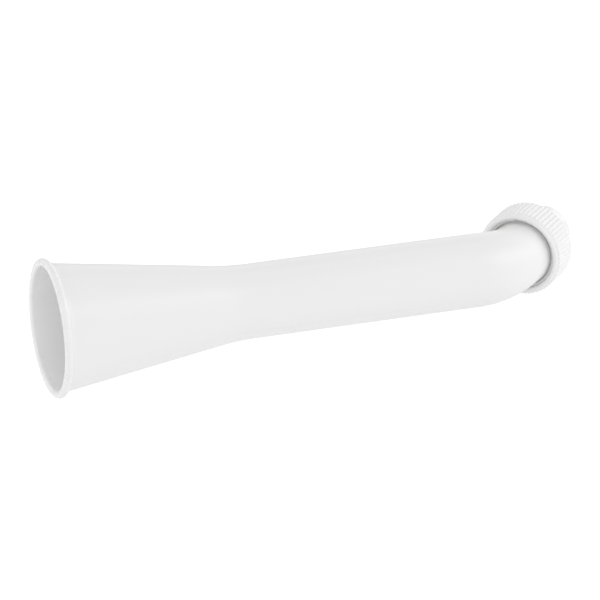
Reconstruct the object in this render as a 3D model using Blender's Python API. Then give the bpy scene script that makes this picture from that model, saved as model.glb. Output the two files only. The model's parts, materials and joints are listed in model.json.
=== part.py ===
"""A filling funnel: a flared mouth on a long bent tube, with a captive swivel nut on its end.

Run with blender --background --python part.py, or from Blender's text editor. All sizes are in metres.

The body is one moulding. Its centre line runs straight from the mouth, turns through the elbow and runs
straight again through the nut to the tip of the nose. Every place along it is given by the distance
along that line, and every turned shape by pairs of such a distance and a radius.
"""
import math

import bmesh
import bpy
from mathutils import Matrix, Vector

# ---------------------------------------------------------------- driving sizes: the body
RIM_BEAD_RADIUS = 0.00234       # of the round bead that is rolled outwards around the mouth
RIM_OVERHANG = 0.00275          # from the start of the cone forward to the front of the bead
MOUTH_RADIUS = 0.0379           # outside of the cone at its start, under the bead
CONE_LENGTH = 0.1095            # from its start to the tube
CONE_BLEND_LENGTH = 0.020       # of the soft curve between cone and tube
TUBE_RADIUS = 0.022             # outside of the tube
TUBE_LENGTH = 0.152             # straight, from the cone to the elbow
WALL = 0.002                    # of the cone, the tube and the elbow
BEND_RADIUS = 0.046             # of the elbow's centre line
BEND_ANGLE = math.radians(45)
NECK_RADIUS = 0.0194            # outside of the neck, which the elbow narrows to
FLANGE_HEIGHT = 0.00225         # how far the flange stands out from the neck
FLANGE_THICKNESS = 0.0022
NOSE_LENGTH = 0.038             # from the flange to the tip
NOSE_WALL = 0.002
NOSE_CHAMFER = 0.0012

# ---------------------------------------------------------------- driving sizes: the nut and the washer
NUT_WALL = 0.002325             # from its widest hollow to the valleys between the ridges
NUT_LENGTH = 0.0212
NUT_OFFSET = 0.0003             # from the end of the bend to the nut's front face
LIP_THICKNESS = 0.0024          # of the nut's front lip
LIP_ROUNDING = 0.0016           # of the edge where the neck enters
FRONT_FACE_INSET = 0.0025       # from the tips of the ridges in to the edge of the flat front face
SHOULDER_INSET = 0.0014         # from the tips of the ridges in to the shoulder where they begin
SHOULDER_LENGTH = 0.0015        # smooth, rounded stretch in front of the ridges
RIDGE_COUNT = 60
RIDGE_HEIGHT = 0.0007
RIDGE_RUNOUT = 0.0012           # over which the ridges rise out of the shoulder
END_CHAMFER = 0.0010            # around both ends of the bore and the far end of the ridges
THREAD_MAJOR_RADIUS = 0.02105   # pipe thread for a 1 1/4 inch filler neck
THREAD_DEPTH = 0.0015
THREAD_PITCH = 0.00231
FILLER_WALL = 0.00395           # of the threaded filler neck, with the play of the nose inside it
RING_THICKNESS = 0.0018
RING_RADIAL_WIDTH = 0.0024
RING_GAP_ANGLE = math.radians(24)
WASHER_THICKNESS = 0.0022
NUT_TRAVEL = 0.0026             # how far the loose nut slides back along the neck

# ---------------------------------------------------------------- clearances
TOUCH_GAP = 0.0003              # between pieces that rest on each other
LIP_CLEARANCE = 0.00025         # nut's front lip over the flange, which it is put on over
BORE_CLEARANCE = 0.0006         # nut's counterbore around the flange

# ---------------------------------------------------------------- how finely round shapes are divided
BODY_SEGMENTS = 48
BEAD_STEPS = 10
BLEND_STEPS = 5
BEND_STEPS = 12
NUT_SEGMENTS = 60
SMOOTH_ANGLE = math.radians(35)

# ---------------------------------------------------------------- sizes that follow from the others
STRAIGHT_LENGTH = CONE_LENGTH + TUBE_LENGTH
BEND_LENGTH = BEND_RADIUS * BEND_ANGLE
BEND_END = STRAIGHT_LENGTH + BEND_LENGTH
FLANGE_RADIUS = NECK_RADIUS + FLANGE_HEIGHT
LIP_RADIUS = FLANGE_RADIUS + LIP_CLEARANCE
COUNTERBORE_RADIUS = FLANGE_RADIUS + BORE_CLEARANCE
RING_INNER_RADIUS = FLANGE_RADIUS - RING_RADIAL_WIDTH / 2 + LIP_CLEARANCE / 2
RING_OUTER_RADIUS = RING_INNER_RADIUS + RING_RADIAL_WIDTH
GROOVE_RADIUS = RING_OUTER_RADIUS + TOUCH_GAP
THREAD_MINOR_RADIUS = THREAD_MAJOR_RADIUS - THREAD_DEPTH
NOSE_RADIUS = THREAD_MINOR_RADIUS - FILLER_WALL     # outside of the nose that enters the filler
NUT_RADIUS = max(GROOVE_RADIUS, THREAD_MAJOR_RADIUS) + NUT_WALL + RIDGE_HEIGHT     # over the ridges' tips
FRONT_FACE_RADIUS = NUT_RADIUS - FRONT_FACE_INSET
SHOULDER_RADIUS = NUT_RADIUS - SHOULDER_INSET

# distances from the nut's front face, along the nut's axis
RING_START = LIP_THICKNESS + TOUCH_GAP
RING_END = RING_START + RING_THICKNESS
GROOVE_END = RING_END + TOUCH_GAP
FLANGE_START = GROOVE_END
FLANGE_END = FLANGE_START + FLANGE_THICKNESS
THREAD_START = FLANGE_END + NUT_TRAVEL + TOUCH_GAP
WASHER_START = FLANGE_END + TOUCH_GAP

# distances along the body's centre line
NUT_FRONT = BEND_END + NUT_OFFSET
NOSE_START = NUT_FRONT + FLANGE_END
NOSE_TIP = NOSE_START + NOSE_LENGTH


def clear_scene():
    """Remove whatever the file holds, so that only this model is left."""
    for old in list(bpy.data.objects):
        bpy.data.objects.remove(old, do_unlink=True)


def make_material(name, colour, roughness, metallic=0.0):
    """A plain Principled BSDF material."""
    material = bpy.data.materials.new(name)
    material.use_nodes = True
    shader = material.node_tree.nodes["Principled BSDF"]
    shader.inputs["Base Color"].default_value = (*colour, 1.0)
    shader.inputs["Roughness"].default_value = roughness
    shader.inputs["Metallic"].default_value = metallic
    return material


def section_frame(distance):
    """The centre line's place at a distance, with local Z along the line and local X straight up."""
    if distance <= STRAIGHT_LENGTH:
        turned = 0.0
        centre = Vector((distance, 0.0, 0.0))
    else:
        turned = min((distance - STRAIGHT_LENGTH) / BEND_RADIUS, BEND_ANGLE)
        beyond = max(distance - BEND_END, 0.0)
        centre = Vector((STRAIGHT_LENGTH + BEND_RADIUS * math.sin(turned) + beyond * math.cos(turned),
                         BEND_RADIUS * (1 - math.cos(turned)) + beyond * math.sin(turned),
                         0.0))
    along = Vector((math.cos(turned), math.sin(turned), 0.0))
    up = Vector((0.0, 0.0, 1.0))
    side = along.cross(up)
    frame = Matrix((up, side, along)).transposed().to_4x4()
    frame.translation = centre
    return frame


def add_ring(bm, frame, radius, segments):
    """A circle of points around the frame's Z axis."""
    made = bmesh.ops.create_circle(bm, cap_ends=False, segments=segments, radius=radius, matrix=frame)
    return made["verts"]


def skin(bm, rings):
    """Close the surface between each ring and the next one, with a quad at each step around."""
    for ring, following in zip(rings, rings[1:]):
        for step in range(len(ring)):
            ahead = (step + 1) % len(ring)
            bm.faces.new((ring[step], ring[ahead], following[ahead], following[step]))


def finish_mesh(bm, name):
    """Turn the faces outwards if they point in, and shade the mesh smooth except at its real edges."""
    bm.normal_update()
    if bm.calc_volume(signed=True) < 0:
        bmesh.ops.reverse_faces(bm, faces=bm.faces)
    mesh = bpy.data.meshes.new(name)
    bm.to_mesh(mesh)
    bm.free()
    mesh.shade_smooth()
    mesh.set_sharp_from_angle(angle=SMOOTH_ANGLE)
    return mesh


def place(name, mesh, parent, frame, material):
    """Add a named piece, with its origin at the frame."""
    piece = bpy.data.objects.new(name, mesh)
    bpy.context.collection.objects.link(piece)
    piece.parent = parent
    piece.matrix_local = frame
    mesh.materials.append(material)
    return piece


def turned_tube(name, profile, segments):
    """A hollow turned solid around local Z, from its closed profile of (height, radius) pairs."""
    bm = bmesh.new()
    rings = [add_ring(bm, Matrix.Translation((0.0, 0.0, height)), radius, segments)
             for height, radius in profile]
    skin(bm, rings + rings[:1])
    return finish_mesh(bm, name)


def turned_plug(name, profile, segments):
    """A solid turned around local Z, closed by a flat disc at each end."""
    bm = bmesh.new()
    rings = [add_ring(bm, Matrix.Translation((0.0, 0.0, height)), radius, segments)
             for height, radius in profile]
    skin(bm, rings)
    bm.faces.new(reversed(rings[0]))
    bm.faces.new(rings[-1])
    return finish_mesh(bm, name)


# ---------------------------------------------------------------- the body
def cone_slope():
    """How much the cone's radius shrinks for each metre along it."""
    return (MOUTH_RADIUS - TUBE_RADIUS) / CONE_LENGTH


def wall_radius(distance):
    """Outside radius of the cone, the tube and the elbow at a distance along the centre line."""
    from_corner = distance - CONE_LENGTH
    half_blend = CONE_BLEND_LENGTH / 2
    if from_corner < -half_blend:
        return TUBE_RADIUS - cone_slope() * from_corner
    if from_corner < half_blend:
        return TUBE_RADIUS + cone_slope() * (half_blend - from_corner) ** 2 / (2 * CONE_BLEND_LENGTH)
    bent = min(max((distance - STRAIGHT_LENGTH) / BEND_LENGTH, 0.0), 1.0)
    narrowing = bent * bent * (3 - 2 * bent)
    return TUBE_RADIUS + (NECK_RADIUS - TUBE_RADIUS) * narrowing


def wall_stations():
    """Distances at which the wall between the bead and the neck needs a ring."""
    blend_start = CONE_LENGTH - CONE_BLEND_LENGTH / 2
    blend = [blend_start + CONE_BLEND_LENGTH * step / BLEND_STEPS for step in range(BLEND_STEPS + 1)]
    bend = [STRAIGHT_LENGTH + BEND_LENGTH * step / BEND_STEPS for step in range(BEND_STEPS + 1)]
    return blend + bend


def bead_centre():
    """Where the bead's own circle is centred, so that the cone's inner surface runs smoothly into it."""
    distance = RIM_BEAD_RADIUS - RIM_OVERHANG
    inner_wall = MOUTH_RADIUS - WALL - cone_slope() * distance
    return distance, inner_wall + RIM_BEAD_RADIUS / math.cos(math.atan(cone_slope()))


def bead_profile():
    """The rolled rim, from the cone's inner surface round the front to its outer surface."""
    distance, radius = bead_centre()
    cone_angle = math.atan(cone_slope())
    start = 1.5 * math.pi - cone_angle
    end = -cone_angle - math.asin(1 - WALL * math.cos(cone_angle) / RIM_BEAD_RADIUS)
    angles = [start + (end - start) * step / BEAD_STEPS for step in range(BEAD_STEPS + 1)]
    return [(distance + RIM_BEAD_RADIUS * math.cos(angle), radius + RIM_BEAD_RADIUS * math.sin(angle))
            for angle in angles]


def neck_and_nose_profile():
    """From the end of the bend along the outside to the tip, and back along the bore."""
    flange_start = NUT_FRONT + FLANGE_START
    bore_radius = NOSE_RADIUS - NOSE_WALL
    return [
        (flange_start, NECK_RADIUS),
        (flange_start, FLANGE_RADIUS),
        (NOSE_START, FLANGE_RADIUS),
        (NOSE_START, NOSE_RADIUS),
        (NOSE_TIP - NOSE_CHAMFER, NOSE_RADIUS),
        (NOSE_TIP, NOSE_RADIUS - NOSE_CHAMFER),
        (NOSE_TIP, bore_radius),
        (NOSE_START, bore_radius),
        (flange_start, NECK_RADIUS - WALL),
    ]


def make_funnel_body(root, material):
    """The one-piece moulding, from the rolled rim to the tip of the nose."""
    outside = [(distance, wall_radius(distance)) for distance in wall_stations()]
    inside = [(distance, radius - WALL) for distance, radius in reversed(outside)]
    profile = bead_profile() + outside + neck_and_nose_profile() + inside
    bm = bmesh.new()
    rings = [add_ring(bm, section_frame(distance), radius, BODY_SEGMENTS) for distance, radius in profile]
    skin(bm, rings + rings[:1])
    mesh = finish_mesh(bm, "funnel_body")
    return place("funnel_body", mesh, root, Matrix.Identity(4), material)


# ---------------------------------------------------------------- the nut
def add_ridge_ring(bm, height):
    """A ring of the nut's outside, with every second point sunk between two ridges."""
    ring = add_ring(bm, Matrix.Translation((0.0, 0.0, height)), NUT_RADIUS, 2 * RIDGE_COUNT)
    valley = (NUT_RADIUS - RIDGE_HEIGHT) / NUT_RADIUS
    for vert in ring[::2]:
        vert.co.x *= valley
        vert.co.y *= valley
    return ring


def nut_outside():
    """The nut's blank: a rounded front, a ridged barrel and a chamfered far end."""
    bm = bmesh.new()
    segments = 2 * RIDGE_COUNT
    rings = [
        add_ring(bm, Matrix.Identity(4), FRONT_FACE_RADIUS, segments),
        add_ring(bm, Matrix.Translation((0.0, 0.0, SHOULDER_LENGTH / 3)),
                 FRONT_FACE_RADIUS + 0.7 * (SHOULDER_RADIUS - FRONT_FACE_RADIUS), segments),
        add_ring(bm, Matrix.Translation((0.0, 0.0, SHOULDER_LENGTH)), SHOULDER_RADIUS, segments),
        add_ridge_ring(bm, SHOULDER_LENGTH + RIDGE_RUNOUT),
        add_ridge_ring(bm, NUT_LENGTH - END_CHAMFER),
        add_ring(bm, Matrix.Translation((0.0, 0.0, NUT_LENGTH)), NUT_RADIUS - END_CHAMFER, segments),
    ]
    skin(bm, rings)
    bm.faces.new(reversed(rings[0]))
    bm.faces.new(rings[-1])
    return finish_mesh(bm, "swivel_nut")


def thread_profile():
    """One ring-shaped groove for each turn of thread that fits, from the shoulder outwards."""
    lead_in = NUT_LENGTH - THREAD_DEPTH
    turns = int((lead_in - THREAD_START) / THREAD_PITCH)
    points = [(THREAD_START, THREAD_MINOR_RADIUS)]
    for turn in range(turns):
        groove = THREAD_START + (turn + 0.5) * THREAD_PITCH
        points.append((groove - 0.35 * THREAD_PITCH, THREAD_MINOR_RADIUS))
        points.append((groove - 0.08 * THREAD_PITCH, THREAD_MAJOR_RADIUS))
        points.append((groove + 0.08 * THREAD_PITCH, THREAD_MAJOR_RADIUS))
        points.append((groove + 0.35 * THREAD_PITCH, THREAD_MINOR_RADIUS))
    points.append((lead_in, THREAD_MINOR_RADIUS))
    points.append((NUT_LENGTH, THREAD_MAJOR_RADIUS))
    return points


def nut_bore():
    """What is cut out of the nut: the mouth, the ring's groove, the counterbore and the thread."""
    overshoot = 0.001
    profile = [
        (-overshoot, LIP_RADIUS + LIP_ROUNDING),
        (0.0, LIP_RADIUS + LIP_ROUNDING),
        (0.3 * LIP_ROUNDING, LIP_RADIUS + 0.3 * LIP_ROUNDING),
        (LIP_ROUNDING, LIP_RADIUS),
        (LIP_THICKNESS, LIP_RADIUS),
        (LIP_THICKNESS, GROOVE_RADIUS),
        (GROOVE_END, GROOVE_RADIUS),
        (GROOVE_END, COUNTERBORE_RADIUS),
        (THREAD_START, COUNTERBORE_RADIUS),
    ]
    profile += thread_profile()
    profile.append((NUT_LENGTH + overshoot, THREAD_MAJOR_RADIUS))
    return turned_plug("nut_bore", profile, NUT_SEGMENTS)


def make_swivel_nut(root, frame, material):
    """The ridged nut, bored out by a cutter that is left in the file as a guide."""
    nut = place("swivel_nut", nut_outside(), root, frame, material)
    cutter = place("nut_bore", nut_bore(), root, frame, material)
    cutter.hide_render = True
    cutter.display_type = "WIRE"
    cut = nut.modifiers.new("bore", "BOOLEAN")
    cut.operation = "DIFFERENCE"
    cut.solver = "EXACT"
    cut.object = cutter
    return nut


# ---------------------------------------------------------------- the small pieces inside the nut
def make_retaining_ring(root, frame, material):
    """The split snap ring: it sits in the nut's groove and catches behind the flange."""
    bm = bmesh.new()
    corners = [
        (RING_INNER_RADIUS, RING_START),
        (RING_OUTER_RADIUS, RING_START),
        (RING_OUTER_RADIUS, RING_END),
        (RING_INNER_RADIUS, RING_END),
    ]
    sections = []
    for step in range(NUT_SEGMENTS + 1):
        angle = RING_GAP_ANGLE / 2 + (2 * math.pi - RING_GAP_ANGLE) * step / NUT_SEGMENTS
        turn = Matrix.Rotation(angle, 4, "Z")
        sections.append([bm.verts.new(turn @ Vector((radius, 0.0, height))) for radius, height in corners])
    skin(bm, sections)
    bm.faces.new(reversed(sections[0]))
    bm.faces.new(sections[-1])
    return place("retaining_ring", finish_mesh(bm, "retaining_ring"), root, frame, material)


def make_sealing_washer(root, frame, material):
    """The flat rubber washer around the nose, against the flange."""
    inner = NOSE_RADIUS + TOUCH_GAP
    outer = min(THREAD_MINOR_RADIUS, COUNTERBORE_RADIUS) - TOUCH_GAP
    profile = [
        (WASHER_START, inner),
        (WASHER_START, outer),
        (WASHER_START + WASHER_THICKNESS, outer),
        (WASHER_START + WASHER_THICKNESS, inner),
    ]
    return place("sealing_washer", turned_tube("sealing_washer", profile, BODY_SEGMENTS), root, frame, material)


# ---------------------------------------------------------------- how it lies
def lowest_on_circle(frame, radius, down):
    """The point of a circle around the frame's Z axis that lies furthest along down."""
    along = frame.col[2].to_3d()
    outward = (down - along * down.dot(along)).normalized()
    return frame.translation + outward * radius


def resting_down():
    """The direction that points at the floor when the rim, the elbow and the nut all touch it."""
    tube_and_bend = [STRAIGHT_LENGTH - TUBE_LENGTH / 2] + wall_stations()[-BEND_STEPS - 1:]
    nut_ends = [NUT_FRONT + SHOULDER_LENGTH + RIDGE_RUNOUT, NUT_FRONT + NUT_LENGTH - END_CHAMFER]
    bead_distance, bead_radius = bead_centre()
    down = Vector((0.0, 0.0, -1.0))
    for _ in range(40):
        rim = lowest_on_circle(section_frame(bead_distance), bead_radius, down) + down * RIM_BEAD_RADIUS
        elbow = max((lowest_on_circle(section_frame(place), wall_radius(place), down)
                     for place in tube_and_bend), key=down.dot)
        nut = max((lowest_on_circle(section_frame(place), NUT_RADIUS, down)
                   for place in nut_ends), key=down.dot)
        floor_normal = (nut - rim).cross(elbow - rim).normalized()
        if floor_normal.dot(down) < 0:
            floor_normal.negate()
        down = (down + floor_normal).normalized()
    return down


def lying_rotation():
    """Turns the body so that it lies on the floor, with its tube running towards +X."""
    up = -resting_down()
    tube = Vector((1.0, 0.0, 0.0))
    forward = (tube - up * tube.dot(up)).normalized()
    return Matrix((forward, up.cross(forward), up)).to_4x4()


def stand_on_floor(root, pieces):
    """Put the middle of the bounding box's underside at the origin."""
    bpy.context.view_layer.update()
    depsgraph = bpy.context.evaluated_depsgraph_get()
    places = []
    for piece in pieces:
        evaluated = piece.evaluated_get(depsgraph)
        places += [evaluated.matrix_world @ vert.co for vert in evaluated.data.vertices]
    low = Vector([min(place[axis] for place in places) for axis in range(3)])
    high = Vector([max(place[axis] for place in places) for axis in range(3)])
    root.location = (-(low.x + high.x) / 2, -(low.y + high.y) / 2, -low.z)


def main():
    clear_scene()
    white = make_material("white_plastic", (0.86, 0.86, 0.85), 0.32)
    nut_white = make_material("nut_plastic", (0.86, 0.86, 0.85), 0.4)
    acetal = make_material("natural_acetal", (0.78, 0.77, 0.72), 0.35)
    rubber = make_material("black_rubber", (0.02, 0.02, 0.02), 0.7)

    root = bpy.data.objects.new("laid_down", None)
    bpy.context.collection.objects.link(root)
    root.matrix_world = lying_rotation()

    nut_frame = section_frame(NUT_FRONT)
    pieces = [
        make_funnel_body(root, white),
        make_swivel_nut(root, nut_frame, nut_white),
        make_retaining_ring(root, nut_frame, acetal),
        make_sealing_washer(root, nut_frame, rubber),
    ]
    stand_on_floor(root, pieces)


main()
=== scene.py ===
# %% [markdown]
# # A white filling funnel with a swivel nut
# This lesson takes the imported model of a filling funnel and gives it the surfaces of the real
# thing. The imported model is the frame: it fixes every size and place, and it says how the nut
# moves. On top of it come four finely made pieces, their plastics and rubber, a pale floor, soft
# light and a camera.

# %% Load the frame
import json
import math

import bmesh
import bpy
from mathutils import Matrix, Vector


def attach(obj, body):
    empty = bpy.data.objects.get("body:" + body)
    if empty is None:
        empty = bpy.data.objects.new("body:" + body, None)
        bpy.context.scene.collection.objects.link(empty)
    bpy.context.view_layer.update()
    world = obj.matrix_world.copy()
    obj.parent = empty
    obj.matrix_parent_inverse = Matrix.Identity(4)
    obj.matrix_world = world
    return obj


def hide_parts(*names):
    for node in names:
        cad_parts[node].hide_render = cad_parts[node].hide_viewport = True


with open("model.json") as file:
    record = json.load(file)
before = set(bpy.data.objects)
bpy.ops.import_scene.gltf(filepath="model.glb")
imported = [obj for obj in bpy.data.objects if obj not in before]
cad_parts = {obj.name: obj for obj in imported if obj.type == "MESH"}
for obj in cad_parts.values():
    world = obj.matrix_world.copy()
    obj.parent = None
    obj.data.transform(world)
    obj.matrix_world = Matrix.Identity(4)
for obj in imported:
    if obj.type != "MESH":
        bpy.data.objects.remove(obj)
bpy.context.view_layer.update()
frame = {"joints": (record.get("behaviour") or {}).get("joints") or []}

# %% [markdown]
# ## The sizes
# The funnel is a turned shape on a bent centre line, so two kinds of number describe it all: how
# far along that line a thing is, and how far out from it. The model was designed with these
# numbers, in metres, and they are repeated here so that the fine pieces land exactly where the
# plain ones are.

# %% Sizes of the moulding, along its centre line from the mouth
RIM_BEAD_RADIUS = 0.00234
RIM_OVERHANG = 0.00275
MOUTH_RADIUS = 0.0379
CONE_LENGTH = 0.1095
CONE_BLEND_LENGTH = 0.020
TUBE_RADIUS = 0.022
TUBE_LENGTH = 0.152
STRAIGHT_LENGTH = CONE_LENGTH + TUBE_LENGTH
WALL = 0.002
BEND_RADIUS = 0.046
BEND_ANGLE = math.radians(45)
BEND_LENGTH = BEND_RADIUS * BEND_ANGLE
NECK_RADIUS = 0.0194
FLANGE_RADIUS = 0.02165
NOSE_RADIUS = 0.0156
NOSE_LENGTH = 0.038
NOSE_CHAMFER = 0.0012
print("the elbow takes", round(1000 * BEND_LENGTH, 1), "mm of the centre line")

# %% Sizes of the nut and what is inside it, from the nut's front face
NUT_RADIUS = 0.0263
NUT_LENGTH = 0.0212
LIP_THICKNESS = 0.0024
LIP_RADIUS = 0.0219
LIP_ROUNDING = 0.0016
FRONT_FACE_RADIUS = 0.0238
SHOULDER_RADIUS = 0.0249
SHOULDER_LENGTH = 0.0015
RIDGE_COUNT = 60
RIDGE_HEIGHT = 0.0007
RIDGE_RUNOUT = 0.0012
END_CHAMFER = 0.0010
RING_INNER_RADIUS = 0.020575
RING_OUTER_RADIUS = 0.022975
RING_START, RING_END = 0.0027, 0.0045
GROOVE_RADIUS = 0.023275
FLANGE_START, FLANGE_END = 0.0048, 0.0070
COUNTERBORE_RADIUS = 0.02225
THREAD_START = 0.0099
THREAD_MINOR_RADIUS = 0.01955
THREAD_MAJOR_RADIUS = 0.02105
THREAD_DEPTH = THREAD_MAJOR_RADIUS - THREAD_MINOR_RADIUS
THREAD_PITCH = 0.00231
WASHER_START, WASHER_END = 0.0073, 0.0095
WASHER_INNER_RADIUS, WASHER_OUTER_RADIUS = 0.0159, 0.01925
NUT_OFFSET = 0.0003
NUT_FRONT = STRAIGHT_LENGTH + BEND_LENGTH + NUT_OFFSET
print("the nut starts", round(1000 * NUT_FRONT, 1), "mm along the centre line")

# %% [markdown]
# ## Where the funnel lies
# The joint that spins the nut gives a point on the nut's axis and the axis itself. The tube is
# known to lie in the upright plane along X, turned 45 degrees from that axis, and it dips a little
# towards the elbow: one direction does all that. With the two directions and the point, every
# place along the centre line can be written as a small matrix. Its Z runs along the line, and its
# X stands square to the plane of the bend.

# %% The centre line, from the nut's joint
joints = {joint["name"]: joint for joint in frame["joints"]}
nut_axis = Vector(joints["nut_spin"]["axis"]).normalized()
nut_front = Vector(joints["nut_spin"]["pos_m"])
reach = math.hypot(nut_axis.x, nut_axis.z)
dip = math.acos(math.cos(BEND_ANGLE) / reach) - math.atan2(nut_axis.z, nut_axis.x)
tube_axis = Vector((math.cos(dip), 0.0, -math.sin(dip)))
bend_normal = tube_axis.cross(nut_axis).normalized()
bend_side = bend_normal.cross(tube_axis)


def centre_line(distance):
    """The matrix of the cross-section at a distance from the mouth."""
    turned = min(max((distance - STRAIGHT_LENGTH) / BEND_RADIUS, 0.0), BEND_ANGLE)
    straight = min(distance, STRAIGHT_LENGTH) + BEND_RADIUS * math.sin(turned)
    beyond = max(distance - STRAIGHT_LENGTH - BEND_LENGTH, 0.0)
    place = (tube_axis * (straight + beyond * math.cos(turned))
             + bend_side * (BEND_RADIUS * (1 - math.cos(turned)) + beyond * math.sin(turned)))
    along = tube_axis * math.cos(turned) + bend_side * math.sin(turned)
    section = Matrix((bend_normal, along.cross(bend_normal), along)).transposed().to_4x4()
    section.translation = place
    return section


mouth_centre = nut_front - centre_line(NUT_FRONT).translation
to_row = Matrix.Translation(mouth_centre)
nut_frame = to_row @ centre_line(NUT_FRONT)
print("the tube dips by", round(math.degrees(dip), 2), "degrees")
print("the mouth is at", [round(1000 * part, 1) for part in mouth_centre], "mm")

# %% [markdown]
# ## Helpers for the meshes
# Two operators make every piece. A straight turned part is a thin profile that `spin` carries once
# around its axis. The bent moulding can't be spun, so it grows instead: one circle of edges is
# extruded again and again, and each new circle is carried to its own place and size. Sharp edges
# of moulded plastic are never truly sharp, so both kinds get a small bevel. It catches the light,
# and a bare corner never does.

# %% Grow, turn and round
ROUND_STEPS = 2
SHARP_ANGLE = math.radians(32)
SHADE_ANGLE = math.radians(50)


def grow(bm, rings, steps):
    """Extrude one circle along a list of (matrix, radius), and join the last one to the first."""
    first_place, first_radius = rings[0]
    made = bmesh.ops.create_circle(bm, cap_ends=False, segments=steps, radius=first_radius,
                                   matrix=first_place)
    first_edges = list({edge for vert in made["verts"] for edge in vert.link_edges})
    edges, before = first_edges, first_place @ Matrix.Scale(first_radius, 4)
    for place, radius in rings[1:]:
        extruded = bmesh.ops.extrude_edge_only(bm, edges=edges)["geom"]
        verts = [part for part in extruded if isinstance(part, bmesh.types.BMVert)]
        after = place @ Matrix.Scale(radius, 4)
        bmesh.ops.transform(bm, matrix=after @ before.inverted(), verts=verts)
        fresh = set(verts)
        edges = [part for part in extruded if isinstance(part, bmesh.types.BMEdge)
                 and fresh.issuperset(part.verts)]
        before = after
    bmesh.ops.bridge_loops(bm, edges=first_edges + edges)
    bmesh.ops.recalc_face_normals(bm, faces=bm.faces)


def turn(bm, profile, steps, angle=2 * math.pi):
    """Spin a closed profile of (height, radius) pairs around Z. A part turn gets its end faces."""
    verts = [bm.verts.new((radius, 0.0, height)) for height, radius in profile]
    whole = angle >= 2 * math.pi
    if whole:
        geometry = [bm.edges.new(pair) for pair in zip(verts, verts[1:] + verts[:1])]
    else:
        geometry = [bm.faces.new(verts)]
    bmesh.ops.spin(bm, geom=geometry, cent=(0, 0, 0), axis=(0, 0, 1), angle=angle, steps=steps,
                   use_merge=whole, use_duplicate=False)
    bmesh.ops.recalc_face_normals(bm, faces=bm.faces)


def round_edges(bm, width):
    """Bevel every edge that is sharper than moulded plastic would be."""
    sharp = [edge for edge in bm.edges
             if edge.is_manifold and edge.calc_face_angle() > SHARP_ANGLE]
    bmesh.ops.bevel(bm, geom=sharp, offset=width, offset_type="OFFSET", affect="EDGES",
                    segments=ROUND_STEPS, profile=0.5, material=-1, clamp_overlap=True)


def smooth_step(share):
    """0 below 0, 1 above 1, and a soft rise between."""
    share = min(max(share, 0.0), 1.0)
    return share * share * (3 - 2 * share)


def make_piece(bm, name, place=None):
    """Put the finished mesh in its place, and keep the object itself at the origin."""
    if place is not None:
        bmesh.ops.transform(bm, matrix=place, verts=bm.verts)
    loose_ends = sum(1 for edge in bm.edges if not edge.is_manifold)
    mesh = bpy.data.meshes.new(name)
    bm.to_mesh(mesh)
    volume = bm.calc_volume(signed=True)
    bm.free()
    mesh.shade_smooth()
    mesh.set_sharp_from_angle(angle=SHADE_ANGLE)
    piece = bpy.data.objects.new(name, mesh)
    bpy.context.scene.collection.objects.link(piece)
    mesh.calc_loop_triangles()
    print(f"{name}: {len(mesh.loop_triangles)} triangles, {volume * 1e6:.1f} cm3,",
          f"{loose_ends} open edges")
    return piece


# %% [markdown]
# ## The moulding
# The real body is one piece of white plastic: a rolled rim, a long cone, a tube, an elbow that
# narrows to the neck, and behind the nut a flange and a nose. One outline describes it, out along
# the outside and back along the bore. The bead is most of a circle, and the inside of the cone
# flows into it without a step. The cone runs into the tube on a short parabola, because a moulder
# never leaves a hard corner where plastic has to flow. The elbow thins on a soft step, so that the
# nut can slip over it.

# %% The outline of the moulding
BEAD_STEPS = 26
FIRST_CONE_CIRCLE = 0.006
CONE_STEPS = 24
BLEND_STEPS = 14
TUBE_STEPS = 20
BEND_STEPS = 36
BODY_STEPS = 160
BODY_ROUNDING = 0.00025
cone_slope = (MOUTH_RADIUS - TUBE_RADIUS) / CONE_LENGTH


def wall_radius(distance):
    """Outside radius of the cone, the tube and the elbow."""
    from_corner = distance - CONE_LENGTH
    half_blend = CONE_BLEND_LENGTH / 2
    if from_corner < -half_blend:
        return TUBE_RADIUS - cone_slope * from_corner
    if from_corner < half_blend:
        return TUBE_RADIUS + cone_slope * (half_blend - from_corner) ** 2 / (2 * CONE_BLEND_LENGTH)
    narrowed = smooth_step((distance - STRAIGHT_LENGTH) / BEND_LENGTH)
    return TUBE_RADIUS + (NECK_RADIUS - TUBE_RADIUS) * narrowed


def evenly(start, end, steps):
    """Places from start to end, both ends included."""
    return [start + (end - start) * step / steps for step in range(steps + 1)]


cone_angle = math.atan(cone_slope)
bead_place = RIM_BEAD_RADIUS - RIM_OVERHANG
inner_wall = MOUTH_RADIUS - WALL - cone_slope * bead_place
bead_radius = inner_wall + RIM_BEAD_RADIUS / math.cos(cone_angle)
bead_begin = 1.5 * math.pi - cone_angle
bead_end = -cone_angle - math.asin(1 - WALL * math.cos(cone_angle) / RIM_BEAD_RADIUS)
bead = [(bead_place + RIM_BEAD_RADIUS * math.cos(angle),
         bead_radius + RIM_BEAD_RADIUS * math.sin(angle))
        for angle in evenly(bead_begin, bead_end, BEAD_STEPS)]
blend_start = CONE_LENGTH - CONE_BLEND_LENGTH / 2
blend_end = CONE_LENGTH + CONE_BLEND_LENGTH / 2
stations = (evenly(FIRST_CONE_CIRCLE, blend_start, CONE_STEPS)[:-1]
            + evenly(blend_start, blend_end, BLEND_STEPS)
            + evenly(blend_end, STRAIGHT_LENGTH, TUBE_STEPS)[1:-1]
            + evenly(STRAIGHT_LENGTH, STRAIGHT_LENGTH + BEND_LENGTH, BEND_STEPS))
outside = [(distance, wall_radius(distance)) for distance in stations]
inside = [(distance, radius - WALL) for distance, radius in reversed(outside)]
flange_start, nose_start = NUT_FRONT + FLANGE_START, NUT_FRONT + FLANGE_END
nose_tip = nose_start + NOSE_LENGTH
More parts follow.
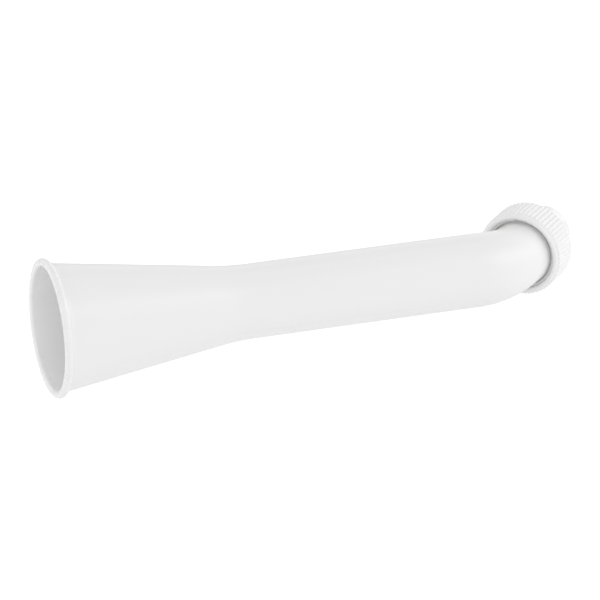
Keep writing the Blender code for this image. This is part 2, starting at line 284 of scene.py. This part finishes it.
neck_and_nose = [
    (flange_start, NECK_RADIUS),
    (flange_start, FLANGE_RADIUS),
    (nose_start, FLANGE_RADIUS),
    (nose_start, NOSE_RADIUS),
    (nose_tip - NOSE_CHAMFER, NOSE_RADIUS),
    (nose_tip, NOSE_RADIUS - NOSE_CHAMFER),
    (nose_tip, NOSE_RADIUS - WALL),
    (nose_start, NOSE_RADIUS - WALL),
    (flange_start, NECK_RADIUS - WALL),
]
outline = bead + outside + neck_and_nose + inside
print(len(outline), "circles from the rim to the tip and back")

# %% Grow the moulding along its centre line
bm = bmesh.new()
grow(bm, [(to_row @ centre_line(distance), radius) for distance, radius in outline], BODY_STEPS)
round_edges(bm, BODY_ROUNDING)
moulding = make_piece(bm, "funnel_moulding")
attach(moulding, "funnel")
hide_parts("funnel_body")

# %% [markdown]
# ## The swivel nut
# A hand nut is moulded too: a flat front with a rounded mouth, a smooth shoulder, sixty fine
# ridges for the fingers, and inside a groove for the snap ring, room for the flange and a pipe
# thread. Sixty separate ridges could be cut one by one, but the nut is spun from a plain profile
# in eight steps to a ridge, and the points that stand above the valleys are then sunk between the
# crests. Ridges made so fade into the shoulder and the end chamfer by themselves, as they do on a
# moulded nut. The thread is made in the same way from close circles in the bore, sunk along a
# helix.

# %% The nut's profile
STEPS_PER_RIDGE = 8
CURVE_STEPS = 6
END_STEPS = 5
BARREL_STEPS = 12
THREAD_STEPS = 58
THREAD_END_GAP = 0.0001
NUT_ROUNDING = 0.00022
QUARTER_TURN = math.pi / 2
shoulder_curve = [(SHOULDER_LENGTH * (1 - math.cos(angle)),
                   FRONT_FACE_RADIUS + (SHOULDER_RADIUS - FRONT_FACE_RADIUS) * math.sin(angle))
                  for angle in evenly(0.0, QUARTER_TURN, CURVE_STEPS)]
ridge_rise = [(SHOULDER_LENGTH + RIDGE_RUNOUT * share,
               SHOULDER_RADIUS + (NUT_RADIUS - SHOULDER_RADIUS) * math.sin(share * QUARTER_TURN))
              for share in evenly(0.0, 1.0, CURVE_STEPS)[1:]]
barrel_start, barrel_end = SHOULDER_LENGTH + RIDGE_RUNOUT, NUT_LENGTH - END_CHAMFER
barrel = [(height, NUT_RADIUS) for height in evenly(barrel_start, barrel_end, BARREL_STEPS)[1:]]
end_curve = [(barrel_end + END_CHAMFER * math.sin(angle),
              NUT_RADIUS - END_CHAMFER * (1 - math.cos(angle)))
             for angle in evenly(0.0, QUARTER_TURN, END_STEPS)[1:]]
thread_heights = evenly(THREAD_START, NUT_LENGTH - THREAD_END_GAP, THREAD_STEPS)
thread_bore = [(height, THREAD_MINOR_RADIUS) for height in reversed(thread_heights)]
counterbore = [
    (THREAD_START, COUNTERBORE_RADIUS),
    (FLANGE_START, COUNTERBORE_RADIUS),
    (FLANGE_START, GROOVE_RADIUS),
    (LIP_THICKNESS, GROOVE_RADIUS),
    (LIP_THICKNESS, LIP_RADIUS),
]
mouth_curve = [(LIP_ROUNDING * (1 - math.sin(angle)),
                LIP_RADIUS + LIP_ROUNDING * (1 - math.cos(angle)))
               for angle in evenly(0.0, QUARTER_TURN, CURVE_STEPS)]
nut_profile = (shoulder_curve + ridge_rise + barrel + end_curve
               + [(NUT_LENGTH, THREAD_MAJOR_RADIUS)] + thread_bore + counterbore + mouth_curve)
print(len(nut_profile), "points in the nut's profile")

# %% Spin the nut, round it, then sink the ridges and the thread
bm = bmesh.new()
turn(bm, nut_profile, RIDGE_COUNT * STEPS_PER_RIDGE)
round_edges(bm, NUT_ROUNDING)
valley_radius = NUT_RADIUS - RIDGE_HEIGHT
VALLEY_SHARPNESS = 1.7
THREAD_FADE = 0.0012
BORE_MARGIN = 0.0004
for vert in bm.verts:
    radius = math.hypot(vert.co.x, vert.co.y)
    around = math.atan2(vert.co.y, vert.co.x) / (2 * math.pi)
    height = vert.co.z
    wanted = radius
    if radius > valley_radius:
        across = abs(2 * ((around * RIDGE_COUNT) % 1.0) - 1)
        wanted = valley_radius + (radius - valley_radius) * (1 - across ** VALLEY_SHARPNESS)
    elif THREAD_START < height and radius < THREAD_MAJOR_RADIUS - BORE_MARGIN:
        depth = 0.5 - 0.5 * math.cos(2 * math.pi * (height / THREAD_PITCH - around))
        fade = smooth_step((height - THREAD_START) / THREAD_FADE)
        cut = radius + THREAD_DEPTH * depth * fade
        wanted = max(cut, THREAD_MAJOR_RADIUS - (NUT_LENGTH - height))
    vert.co.x *= wanted / radius
    vert.co.y *= wanted / radius
nut = make_piece(bm, "ridged_nut", nut_frame)
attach(nut, "nut")
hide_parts("swivel_nut")

# %% [markdown]
# ## The snap ring
# The ring that holds the nut behind the flange is split, so that it can be squeezed into its
# groove. Its small rectangular section is spun most of the way round, which leaves the split and
# closes both ends.

# %% Spin the ring, leaving its split
RING_GAP_ANGLE = math.radians(24)
RING_STEPS = 150
RING_ROUNDING = 0.00025
ring_section = [
    (RING_START, RING_INNER_RADIUS),
    (RING_START, RING_OUTER_RADIUS),
    (RING_END, RING_OUTER_RADIUS),
    (RING_END, RING_INNER_RADIUS),
]
bm = bmesh.new()
turn(bm, ring_section, RING_STEPS, 2 * math.pi - RING_GAP_ANGLE)
round_edges(bm, RING_ROUNDING)
ring = make_piece(bm, "snap_ring", nut_frame @ Matrix.Rotation(RING_GAP_ANGLE / 2, 4, "Z"))
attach(ring, "ring")
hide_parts("retaining_ring")

# %% [markdown]
# ## The rubber washer
# A flat washer is stamped or moulded, and its edges are soft. It is spun once around the nose and
# gets a wider rounding than the plastic.

# %% Spin the washer
WASHER_STEPS = 128
WASHER_ROUNDING = 0.0004
washer_section = [
    (WASHER_START, WASHER_INNER_RADIUS),
    (WASHER_START, WASHER_OUTER_RADIUS),
    (WASHER_END, WASHER_OUTER_RADIUS),
    (WASHER_END, WASHER_INNER_RADIUS),
]
bm = bmesh.new()
turn(bm, washer_section, WASHER_STEPS)
round_edges(bm, WASHER_ROUNDING)
washer = make_piece(bm, "rubber_washer", nut_frame)
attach(washer, "funnel")
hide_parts("sealing_washer")


# %% [markdown]
# ## Writing materials as sums
# A node tree is easier to read as arithmetic. The small class below holds one output of a node. A
# plus, a minus or a times between two of them, or between one and a number, adds the Math node
# that does it. Every other kind of node comes from its one method, which sets the node's choices
# first and then its sockets.

# %% The class for shader maths
class Strand:
    """One output in a material's node tree, on which Python's arithmetic works."""

    def __init__(self, tree, socket=None):
        self.tree = tree
        self.socket = socket

    def node(self, kind, choices, sockets, output=0):
        """Add a node, make its choices, fill its sockets and return one of its outputs."""
        made = self.tree.nodes.new("ShaderNode" + kind)
        for name, value in choices.items():
            setattr(made, name, value)
        for name, value in sockets.items():
            if isinstance(value, Strand):
                self.tree.links.new(value.socket, made.inputs[name])
            else:
                made.inputs[name].default_value = value
        return Strand(self.tree, made.outputs[output])

    def maths(self, operation, first, second):
        """Add a Math node between two strands, or a strand and a number."""
        return self.node("Math", {"operation": operation}, {0: first, 1: second})

    def __add__(self, other):
        return self.maths("ADD", self, other)

    def __sub__(self, other):
        return self.maths("SUBTRACT", self, other)

    def __rsub__(self, other):
        return self.maths("SUBTRACT", other, self)

    def __mul__(self, other):
        return self.maths("MULTIPLY", self, other)

    __radd__ = __add__
    __rmul__ = __mul__


# %% [markdown]
# A few recipes come back in every finish. `start_material` opens a tree and hands back its shader
# and the position on the piece, which stays with the piece when it moves. `noise` is a cloud of a
# given size in metres. `within` is a soft mask between two values. `mixed` blends two colours, and
# `bumped` bends the surface by a real depth. `along_line` and `off_line` measure from an axis, and
# `feed` links the result to the shader.

# %% Recipes that every finish uses
def start_material(name):
    """A new material, the shader node in it, and the position on the object."""
    material = bpy.data.materials.new(name)
    material.use_nodes = True
    shader = material.node_tree.nodes["Principled BSDF"]
    position = Strand(material.node_tree).node("TexCoord", {}, {}, "Object")
    return material, shader, position


def noise(position, grain, detail=2.0, roughness=0.5):
    """Clouds about one grain across, from 0 to 1 around a half."""
    return position.node("TexNoise", {}, {"Vector": position, "Scale": 1.0 / grain,
                                          "Detail": detail, "Roughness": roughness})


def within(value, low, high):
    """0 where the value is under low, 1 where it is over high, and soft between."""
    return value.node("MapRange", {"interpolation_type": "SMOOTHSTEP"},
                      {"Value": value, "From Min": low, "From Max": high})


def mixed(share, first, second):
    """The first colour where the share is 0 and the second where it is 1."""
    first = (*first, 1.0) if isinstance(first, tuple) else first
    second = (*second, 1.0) if isinstance(second, tuple) else second
    factor, colour_a, colour_b, colour_result = 0, 6, 7, 2
    return share.node("Mix", {"data_type": "RGBA"},
                      {factor: share, colour_a: first, colour_b: second}, colour_result)


def bumped(height, depth, under=None):
    """A normal bent by a height that runs from 0 to 1 over a real depth in metres."""
    sockets = {"Height": height, "Distance": depth, "Strength": 1.0}
    if under is not None:
        sockets["Normal"] = under
    return height.node("Bump", {}, sockets)


def along_line(position, origin, direction):
    """A point's offset from an origin, and how far it lies along a direction, in metres."""
    offset = position.node("VectorMath", {"operation": "SUBTRACT"},
                           {0: position, 1: tuple(origin)})
    return offset, offset.node("VectorMath", {"operation": "DOT_PRODUCT"},
                               {0: offset, 1: tuple(direction)}, "Value")


def off_line(offset, direction):
    """How far out from a line a point is, in metres."""
    across = offset.node("VectorMath", {"operation": "CROSS_PRODUCT"},
                         {0: offset, 1: tuple(direction)})
    return across.node("VectorMath", {"operation": "LENGTH"}, {0: across}, "Value")


def feed(shader, name, strand):
    """Link a strand to one of the shader's sockets."""
    strand.tree.links.new(strand.socket, shader.inputs[name])


# %% [markdown]
# ## White moulded plastic
# Polypropylene leaves the mould almost white, with a soft gloss. Three things keep it from looking
# like paint. It flowed along the tube, so faint streaks run that way. The mould was blasted, so
# the skin has a grain that is only felt in the highlight. And hands and shelves have dulled it in
# places, while the rim, which everything rubs against, is polished and a little greyed.

# %% The body's plastic
BODY_WHITE = (0.845, 0.847, 0.845)
BODY_WHITE_DEEP = (0.825, 0.827, 0.824)
HANDLED_GREY = (0.800, 0.798, 0.790)
FLOW_STRETCH = 0.12
STREAK_WIDTH = 0.006
BODY_CLOUD = 0.045
SCUFF_WIDTH = 0.0011
SCUFF_PATCH = 0.030
RIM_DEPTH = (0.0005, 0.0040)
RIM_PATCH = 0.008
WAVE_WIDTH, WAVE_DEPTH = 0.022, 0.00010
SKIN_GRAIN, SKIN_DEPTH = 0.00045, 0.0000045
PLASTIC_IOR = 1.49
body_plastic, shader, position = start_material("white_polypropylene")
turn_to_tube = Matrix((tube_axis, bend_side, bend_normal)).to_euler()
flow = position.node("Mapping", {"vector_type": "POINT"},
                     {"Vector": position, "Rotation": tuple(turn_to_tube),
                      "Scale": (FLOW_STRETCH, 1.0, 1.0)})
streaks = noise(flow, STREAK_WIDTH, 3.0)
clouds = noise(position, BODY_CLOUD)
scuffs = (within(noise(flow, SCUFF_WIDTH, 5.0, 0.7), 0.60, 0.72)
          * within(noise(position, SCUFF_PATCH), 0.52, 0.66))
_, from_mouth = along_line(position, mouth_centre, tube_axis)
rim_wear = ((1 - within(from_mouth, *RIM_DEPTH))
            * within(noise(position, RIM_PATCH, 4.0), 0.30, 0.62))
colour = mixed(clouds * 0.6 + streaks * 0.4, BODY_WHITE_DEEP, BODY_WHITE)
colour = mixed(rim_wear * 0.10 + scuffs * 0.10, colour, HANDLED_GREY)
feed(shader, "Base Color", colour)
feed(shader, "Roughness",
     0.27 + streaks * 0.05 + clouds * 0.04 + scuffs * 0.14 - rim_wear * 0.05)
skin = noise(position, SKIN_GRAIN, 3.0, 0.6)
slow_waves = noise(flow, WAVE_WIDTH)
feed(shader, "Normal", bumped(skin, SKIN_DEPTH, bumped(slow_waves, WAVE_DEPTH)))
shader.inputs["IOR"].default_value = PLASTIC_IOR
moulding.data.materials.append(body_plastic)
print("body plastic:", len(body_plastic.node_tree.nodes), "nodes")

# %% [markdown]
# ## The nut's plastic
# The nut is the same white, moulded a little duller so that it grips. Fingers polish the crests of
# its ridges, and the valleys between them are painted a little grey in patches as shade. Both
# follow the distance from the nut's axis, so they turn with the nut.

# %% The nut's plastic, by its distance from the axis
NUT_WHITE = (0.850, 0.852, 0.850)
NUT_WHITE_DEEP = (0.828, 0.830, 0.827)
VALLEY_PAINTED_SHADE = (0.785, 0.783, 0.776)
NUT_CLOUD = 0.012
CREST_DEPTH = (0.00030, 0.00004)
VALLEY_TOP = 0.00038
VALLEY_PATCH = 0.004
NUT_GRAIN, NUT_GRAIN_DEPTH = 0.00035, 0.000008
nut_plastic, shader, position = start_material("white_nut_plastic")
offset, from_front = along_line(position, nut_front, nut_axis)
from_axis = off_line(offset, nut_axis)
clouds = noise(position, NUT_CLOUD, 3.0)
on_barrel = within(from_front, SHOULDER_LENGTH, SHOULDER_LENGTH + RIDGE_RUNOUT)
crest = within(from_axis, NUT_RADIUS - CREST_DEPTH[0], NUT_RADIUS - CREST_DEPTH[1]) * on_barrel
valley = on_barrel * (within(from_axis, FRONT_FACE_RADIUS, SHOULDER_RADIUS)
                      - within(from_axis, NUT_RADIUS - RIDGE_HEIGHT, NUT_RADIUS - VALLEY_TOP))
colour = mixed(clouds, NUT_WHITE_DEEP, NUT_WHITE)
# painted shade: the valleys between the ridges are mixed a little towards grey, in patches
colour = mixed(valley * (0.10 + 0.2 * noise(position, VALLEY_PATCH, 3.0)), colour, VALLEY_PAINTED_SHADE)
feed(shader, "Base Color", colour)
feed(shader, "Roughness", 0.46 + clouds * 0.06 - crest * 0.07 + valley * 0.06)
feed(shader, "Normal", bumped(noise(position, NUT_GRAIN, 3.0, 0.6), NUT_GRAIN_DEPTH))
shader.inputs["IOR"].default_value = PLASTIC_IOR
nut.data.materials.append(nut_plastic)
print("nut plastic:", len(nut_plastic.node_tree.nodes), "nodes")

# %% [markdown]
# ## Acetal and rubber
# The snap ring is natural acetal, a stiff, milky plastic with a waxy look. The washer is black
# rubber: a fine pebble, a dull surface, and a pale bloom that comes out of old rubber in patches.

# %% The ring's acetal
ACETAL = (0.840, 0.838, 0.828)
ACETAL_DEEP = (0.815, 0.812, 0.800)
ACETAL_CLOUD = 0.007
ACETAL_GRAIN, ACETAL_GRAIN_DEPTH = 0.0006, 0.000010
ring_plastic, shader, position = start_material("natural_acetal")
clouds = noise(position, ACETAL_CLOUD, 3.0)
feed(shader, "Base Color", mixed(clouds, ACETAL_DEEP, ACETAL))
feed(shader, "Roughness", 0.36 + clouds * 0.10)
feed(shader, "Normal", bumped(noise(position, ACETAL_GRAIN, 3.0), ACETAL_GRAIN_DEPTH))
ring.data.materials.append(ring_plastic)
print("acetal:", len(ring_plastic.node_tree.nodes), "nodes")

# %% The washer's rubber
RUBBER = (0.018, 0.018, 0.019)
RUBBER_BLOOM = (0.085, 0.083, 0.080)
BLOOM_PATCH = 0.006
PEBBLE_SIZE, PEBBLE_DEPTH = 0.0004, 0.000030
washer_rubber, shader, position = start_material("black_rubber")
bloom = within(noise(position, BLOOM_PATCH, 5.0, 0.65), 0.46, 0.70)
feed(shader, "Base Color", mixed(bloom * 0.6, RUBBER, RUBBER_BLOOM))
feed(shader, "Roughness", 0.62 + bloom * 0.2)
feed(shader, "Normal", bumped(noise(position, PEBBLE_SIZE, 4.0, 0.7), PEBBLE_DEPTH))
washer.data.materials.append(washer_rubber)
print("rubber:", len(washer_rubber.node_tree.nodes), "nodes")

# %% [markdown]
# ## The floor and the surround
# The funnel lies on a pale light table: a white sheet that glows a little from below, so that
# shadows stay faint and the underside of the funnel is filled with light. The surround is a plain
# white tent. Both look a little brighter than the light they give, and the sheet still more so far
# off, so that no horizon shows.

# %% Lay the floor
FLOOR_SIZE = 30.0
FLOOR_GREY = (0.30, 0.30, 0.30, 1.0)
FLOOR_GLOW = 0.70
SEEN_GLOW, FAR_GLOW = 0.17, 0.2
FAR_START, FAR_END = 0.5, 3.0
floor_mesh = bpy.data.meshes.new("floor")
bm = bmesh.new()
bmesh.ops.create_grid(bm, x_segments=2, y_segments=2, size=FLOOR_SIZE / 2)
bm.to_mesh(floor_mesh)
bm.free()
floor = bpy.data.objects.new("floor", floor_mesh)
bpy.context.scene.collection.objects.link(floor)
floor_sheet = bpy.data.materials.new("light_table")
floor_sheet.use_nodes = True
shader = floor_sheet.node_tree.nodes["Principled BSDF"]
shader.inputs["Base Color"].default_value = FLOOR_GREY
shader.inputs["Roughness"].default_value = 0.9
shader.inputs["Specular IOR Level"].default_value = 0.0
shader.inputs["Emission Strength"].default_value = 1.0
spot = Strand(floor_sheet.node_tree)
seen = spot.node("LightPath", {}, {}, "Is Camera Ray")
from_centre = off_line(spot.node("TexCoord", {}, {}, "Object"), (0.0, 0.0, 1.0))
far_off = within(from_centre, FAR_START, FAR_END)
feed(shader, "Emission Color", FLOOR_GLOW + seen * (SEEN_GLOW + FAR_GLOW * far_off))
floor_mesh.materials.append(floor_sheet)
print("floor", FLOOR_SIZE, "m wide")

# %% Light the surround
TENT_STRENGTH = 0.65
TENT_SEEN = 1.05
world = bpy.data.worlds.new("white_tent")
bpy.context.scene.world = world
world.use_nodes = True
tent = Strand(world.node_tree)
seen = tent.node("LightPath", {}, {}, "Is Camera Ray")
background = world.node_tree.nodes["Background"]
background.inputs["Strength"].default_value = 1.0
feed(background, "Color", seen * (TENT_SEEN - TENT_STRENGTH) + TENT_STRENGTH)
print("tent strength", TENT_STRENGTH)

# %% [markdown]
# ## The lamps
# Large soft lamps stand all round the funnel, as in a light tent. Those to the right are the
# strongest, the key light in front and three more behind it, so the elbow and the nut are the
# brightest and the mouth falls away into shade. The lamps to the left light the rim and reach into
# the mouth. The two that hang high up are weak, so that the tops of the cone and the tube end in a
# soft grey line.

# %% Hang the soft lamps
SUBJECT = Vector((0.0, 0.0, 0.03))


def outwards_at(azimuth, elevation):
    """The direction from the funnel to a lamp or a camera, from its two angles."""
    return Vector((math.sin(azimuth) * math.cos(elevation),
                   -math.cos(azimuth) * math.cos(elevation),
                   math.sin(elevation)))


def soft_lamp(name, azimuth, elevation, distance, width, height, radiance):
    """A rectangular lamp aimed at the funnel, of a given brightness for its size."""
    light = bpy.data.lights.new(name, "AREA")
    light.shape = "RECTANGLE"
    light.size, light.size_y = width, height
    light.energy = radiance * math.pi * width * height
    lamp = bpy.data.objects.new(name, light)
    bpy.context.scene.collection.objects.link(lamp)
    outwards = outwards_at(math.radians(azimuth), math.radians(elevation))
    lamp.location = SUBJECT + outwards * distance
    lamp.rotation_mode = "QUATERNION"
    lamp.rotation_quaternion = outwards.to_track_quat("Z", "Y")
    lamp.visible_camera = False
    print(name, "gives", round(light.energy, 1), "W")


soft_lamp("key_light", 50, 18, 2.4, 1.5, 1.4, 1.60)
soft_lamp("right_light", 85, 12, 2.4, 1.4, 1.4, 1.05)
soft_lamp("far_right_light", 115, 25, 2.4, 1.4, 1.4, 0.82)
soft_lamp("back_right_light", 140, 12, 2.4, 1.2, 1.2, 0.60)
soft_lamp("front_light", -17, 14, 2.6, 1.4, 1.2, 0.80)
soft_lamp("left_light", -75, 22, 2.4, 1.4, 1.4, 1.29)
soft_lamp("back_left_light", -130, 30, 2.4, 1.4, 1.4, 0.90)
soft_lamp("back_light", 175, 40, 2.2, 2.4, 0.9, 0.34)
soft_lamp("ceiling_light", 0, 88, 2.2, 2.4, 0.7, 0.50)

# %% [markdown]
# ## The camera
# A long lens from over two metres away keeps the tube's sides nearly parallel. The camera stands
# just above the floor, a little round towards the mouth, so that it sees into it. It is rolled, so
# that the tube climbs to the right although it lies flat.

# %% Place the camera
CAMERA_AZIMUTH = math.radians(-17.363)
CAMERA_ELEVATION = math.radians(3.345)
CAMERA_ROLL = math.radians(-11.025)
CAMERA_DISTANCE = 2.184
CAMERA_AIM = Vector((-0.01566, -0.00612, 0.02661))
LENS_MM = 223.84
SENSOR_MM = 36.0
towards_camera = outwards_at(CAMERA_AZIMUTH, CAMERA_ELEVATION)
lens = bpy.data.cameras.new("camera")
lens.lens = LENS_MM
lens.sensor_width = SENSOR_MM
camera = bpy.data.objects.new("camera", lens)
bpy.context.scene.collection.objects.link(camera)
camera.location = CAMERA_AIM + towards_camera * CAMERA_DISTANCE
upright = towards_camera.to_track_quat("Z", "Y").to_matrix()
camera.rotation_euler = (upright @ Matrix.Rotation(CAMERA_ROLL, 3, "Z")).to_euler()
bpy.context.scene.camera = camera
bpy.context.scene.view_settings.view_transform = "Standard"
print("camera at", [round(part, 3) for part in camera.location])
